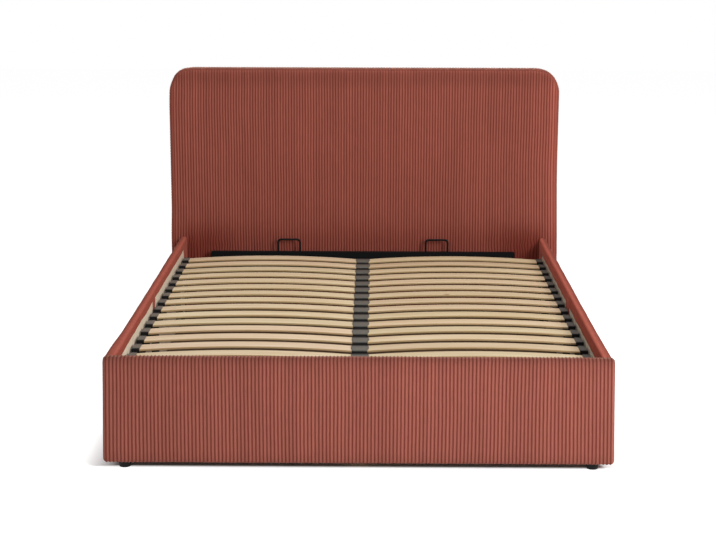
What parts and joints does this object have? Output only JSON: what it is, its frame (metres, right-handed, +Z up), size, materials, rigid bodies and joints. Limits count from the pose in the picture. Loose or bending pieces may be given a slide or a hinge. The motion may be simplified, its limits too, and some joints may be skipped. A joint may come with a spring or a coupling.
{
  "type": "storage bed",
  "caption": "Upholstered storage bed with a ribbed fabric cover, a high headboard and a hinged sprung slat platform that lifts at the foot end.",
  "frame": {"origin": "on the floor at the centre of the whole bed's footprint", "axes": "+Z up, +Y from the foot end to the headboard, +X to the right seen from the foot end"},
  "size_m": [1.71, 2.1452, 1.124],
  "materials": {
    "ribbed_cover": "soft ribbed pile, terracotta",
    "back_lining": "black lining cloth",
    "board": "plain board",
    "timber": "planed softwood",
    "slat_wood": "sanded bentwood",
    "floor_panel": "thin hardboard",
    "black_steel": "satin black powder coat",
    "bolt_steel": "zinc plated",
    "rod_steel": "polished",
    "holder_plastic": "matte dark grey",
    "foot_plastic": "matte black",
    "webbing": "woven webbing"
  },
  "bodies": {
    "frame": {"headboard_upholstery": "ribbed_cover", "footboard_upholstery": "ribbed_cover", "side_upholstery_left_front": "ribbed_cover", "side_upholstery_left_rear": "ribbed_cover", "side_upholstery_right_front": "ribbed_cover", "side_upholstery_right_rear": "ribbed_cover", "headboard_back_cover": "back_lining", "headboard_board": "board", "footboard_board": "board", "side_board_left_front": "board", "side_board_left_rear": "board", "side_board_right_front": "board", "side_board_right_rear": "board", "headboard_stile_left": "timber", "headboard_stile_right": "timber", "headboard_crossbar": "timber", "floor_ledger_left": "timber", "floor_ledger_right": "timber", "centre_beam": "timber", "storage_panel_left_front": "floor_panel", "storage_panel_left_rear": "floor_panel", "storage_panel_right_front": "floor_panel", "storage_panel_right_rear": "floor_panel", "corner_bracket_foot_left": "black_steel", "corner_bracket_foot_right": "black_steel", "corner_bracket_head_left": "black_steel", "corner_bracket_head_right": "black_steel", "joint_plate_left": "black_steel", "joint_plate_right": "black_steel", "hinge_plate_left": "black_steel", "hinge_plate_right": "black_steel", "frame_bolts": "bolt_steel", "front_foot_left": "foot_plastic", "front_foot_right": "foot_plastic", "headboard_foot_left": "foot_plastic", "headboard_foot_right": "foot_plastic", "beam_foot_front": "foot_plastic", "beam_foot_rear": "foot_plastic"},
    "platform": {"platform_side_tube_left": "black_steel", "platform_side_tube_right": "black_steel", "platform_foot_tube": "black_steel", "platform_head_tube": "black_steel", "platform_centre_tube": "black_steel", "head_bar": "black_steel", "head_bar_arm_left": "black_steel", "head_bar_arm_right": "black_steel", "mattress_loop_left": "black_steel", "mattress_loop_right": "black_steel", "lift_arm_left": "black_steel", "lift_arm_right": "black_steel", "slats_left": "slat_wood", "slats_right": "slat_wood", "slat_holders_left": "holder_plastic", "slat_holders_right": "holder_plastic", "slat_holders_centre": "holder_plastic", "pull_strap": "webbing"},
    "cylinder_left": {"strut_cylinder_left": "black_steel"},
    "cylinder_right": {"strut_cylinder_right": "black_steel"},
    "rod_left": {"strut_rod_left": "rod_steel"},
    "rod_right": {"strut_rod_right": "rod_steel"}
  },
  "joints": [
    {"name": "platform_lift", "type": "hinge", "parent": "frame", "child": "platform", "pos_m": [0, 0.66735, 0.245], "axis": [-1, 0, 0], "range_deg": [0, 33]},
    {"name": "strut_swing_left", "type": "hinge", "parent": "frame", "child": "cylinder_left", "pos_m": [-0.759, 0.60135, 0.08], "axis": [-1, 0, 0], "range_deg": [0, 24.1]},
    {"name": "strut_swing_right", "type": "hinge", "parent": "frame", "child": "cylinder_right", "pos_m": [0.759, 0.60135, 0.08], "axis": [-1, 0, 0], "range_deg": [0, 24.1]},
    {"name": "strut_extend_left", "type": "slide", "parent": "cylinder_left", "child": "rod_left", "axis": [0, -0.7985, 0.602], "range_m": [0, 0.092]},
    {"name": "strut_extend_right", "type": "slide", "parent": "cylinder_right", "child": "rod_right", "axis": [0, -0.7985, 0.602], "range_m": [0, 0.092]}
  ],
  "couplings": [
    {"joint": "strut_swing_left", "follows": "platform_lift", "ratio": 0.7295},
    {"joint": "strut_swing_right", "follows": "platform_lift", "ratio": 0.7295},
    {"joint": "strut_extend_left", "follows": "platform_lift", "m_per_rad": 0.1596},
    {"joint": "strut_extend_right", "follows": "platform_lift", "m_per_rad": 0.1596}
  ]
}
